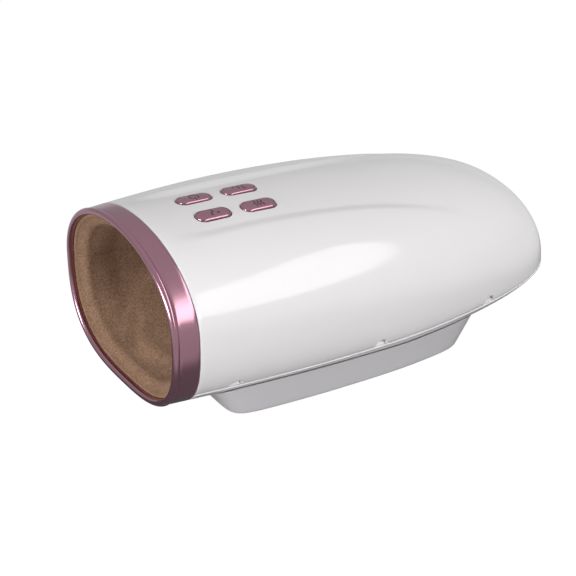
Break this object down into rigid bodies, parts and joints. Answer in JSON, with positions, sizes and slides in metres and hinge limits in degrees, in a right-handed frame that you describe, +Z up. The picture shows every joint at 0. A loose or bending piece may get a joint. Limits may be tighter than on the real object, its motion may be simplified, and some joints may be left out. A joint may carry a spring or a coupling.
{
  "type": "hand massager",
  "caption": "Free-standing hand massager: glossy shell on a foot block, open end with a metallic ring and a fabric sleeve that the hand goes into, pill keys on top.",
  "frame": {"origin": "on the table under the middle of the body's outline", "axes": "+Z up; -Y out of the open mouth that the hand goes into, +Y to the rounded nose; +X to the right for someone who looks along +Y into the mouth"},
  "size_m": [0.143, 0.264, 0.1094],
  "materials": {
    "white_gloss_abs": "moulded white ABS, high gloss",
    "white_satin_abs": "moulded white ABS, satin",
    "rose_gold_coating": "rose gold metallised coating, satin gloss",
    "tan_brushed_fabric": "brushed knit, short nap",
    "grey_rubber": "moulded rubber",
    "silicone_hose": "extruded silicone",
    "black_nylon": "moulded nylon",
    "grey_abs": "moulded ABS, unpainted",
    "air_cell_film": "welded polyurethane film",
    "heater_film": "polyimide film",
    "circuit_board": "solder mask",
    "battery_sleeve": "shrink sleeve",
    "switch_plunger": "moulded acetal",
    "zinc_steel": "zinc plated"
  },
  "bodies": {
    "casing": {"upper_shell": "white_gloss_abs", "lower_shell": "white_gloss_abs", "base_cover": "white_satin_abs", "front_ring": "rose_gold_coating", "liner": "tan_brushed_fabric", "liner_hoop": "black_nylon", "upper_tray": "grey_abs", "lower_tray": "grey_abs", "upper_air_cell": "air_cell_film", "lower_air_cell": "air_cell_film", "heater_pad": "heater_film", "switch_housing_power": "black_nylon", "switch_housing_mode": "black_nylon", "switch_housing_pressure": "black_nylon", "switch_housing_heat": "black_nylon", "key_board": "circuit_board", "main_board": "circuit_board", "battery_cradle": "black_nylon", "battery_front": "battery_sleeve", "battery_rear": "battery_sleeve", "charge_socket": "black_nylon", "pump_motor": "zinc_steel", "pump_head": "grey_abs", "pump_cradle": "black_nylon", "air_manifold": "grey_abs", "valve_right": "black_nylon", "valve_left": "black_nylon", "hose_supply": "silicone_hose", "hose_upper_cell": "silicone_hose", "hose_lower_cell": "silicone_hose", "rubber_foot_front_right": "grey_rubber", "rubber_foot_front_left": "grey_rubber", "rubber_foot_rear_right": "grey_rubber", "rubber_foot_rear_left": "grey_rubber", "base_screw_front_right": "zinc_steel", "base_screw_front_left": "zinc_steel", "base_screw_rear_right": "zinc_steel", "base_screw_rear_left": "zinc_steel", "case_screw_front_right": "zinc_steel", "case_screw_front_left": "zinc_steel", "case_screw_rear_right": "zinc_steel", "case_screw_rear_left": "zinc_steel"},
    "power_key": {"key_power": "rose_gold_coating", "switch_plunger_power": "switch_plunger"},
    "mode_key": {"key_mode": "rose_gold_coating", "switch_plunger_mode": "switch_plunger"},
    "pressure_key": {"key_pressure": "rose_gold_coating", "switch_plunger_pressure": "switch_plunger"},
    "heat_key": {"key_heat": "rose_gold_coating", "switch_plunger_heat": "switch_plunger"},
    "rotor": {"pump_rotor": "zinc_steel"},
    "right_valve_pin": {"valve_pin_right": "zinc_steel"},
    "left_valve_pin": {"valve_pin_left": "zinc_steel"}
  },
  "joints": [
    {"name": "power_key_press", "type": "slide", "parent": "casing", "child": "power_key", "axis": [0, -0.1068, -0.9943], "range_m": [0, 0.0005], "stiffness_N_per_m": 1500},
    {"name": "mode_key_press", "type": "slide", "parent": "casing", "child": "mode_key", "axis": [0, -0.1068, -0.9943], "range_m": [0, 0.0005], "stiffness_N_per_m": 1500},
    {"name": "pressure_key_press", "type": "slide", "parent": "casing", "child": "pressure_key", "axis": [0, -0.1068, -0.9943], "range_m": [0, 0.0005], "stiffness_N_per_m": 1500},
    {"name": "heat_key_press", "type": "slide", "parent": "casing", "child": "heat_key", "axis": [0, -0.1068, -0.9943], "range_m": [0, 0.0005], "stiffness_N_per_m": 1500},
    {"name": "pump_rotor_spin", "type": "hinge", "parent": "casing", "child": "rotor", "pos_m": [0, 0.114, 0.036], "axis": [1, 0, 0], "continuous": true},
    {"name": "right_valve_stroke", "type": "slide", "parent": "casing", "child": "right_valve_pin", "axis": [0, 1, 0], "range_m": [0, 0.001], "stiffness_N_per_m": 400},
    {"name": "left_valve_stroke", "type": "slide", "parent": "casing", "child": "left_valve_pin", "axis": [0, 1, 0], "range_m": [0, 0.001], "stiffness_N_per_m": 400}
  ]
}
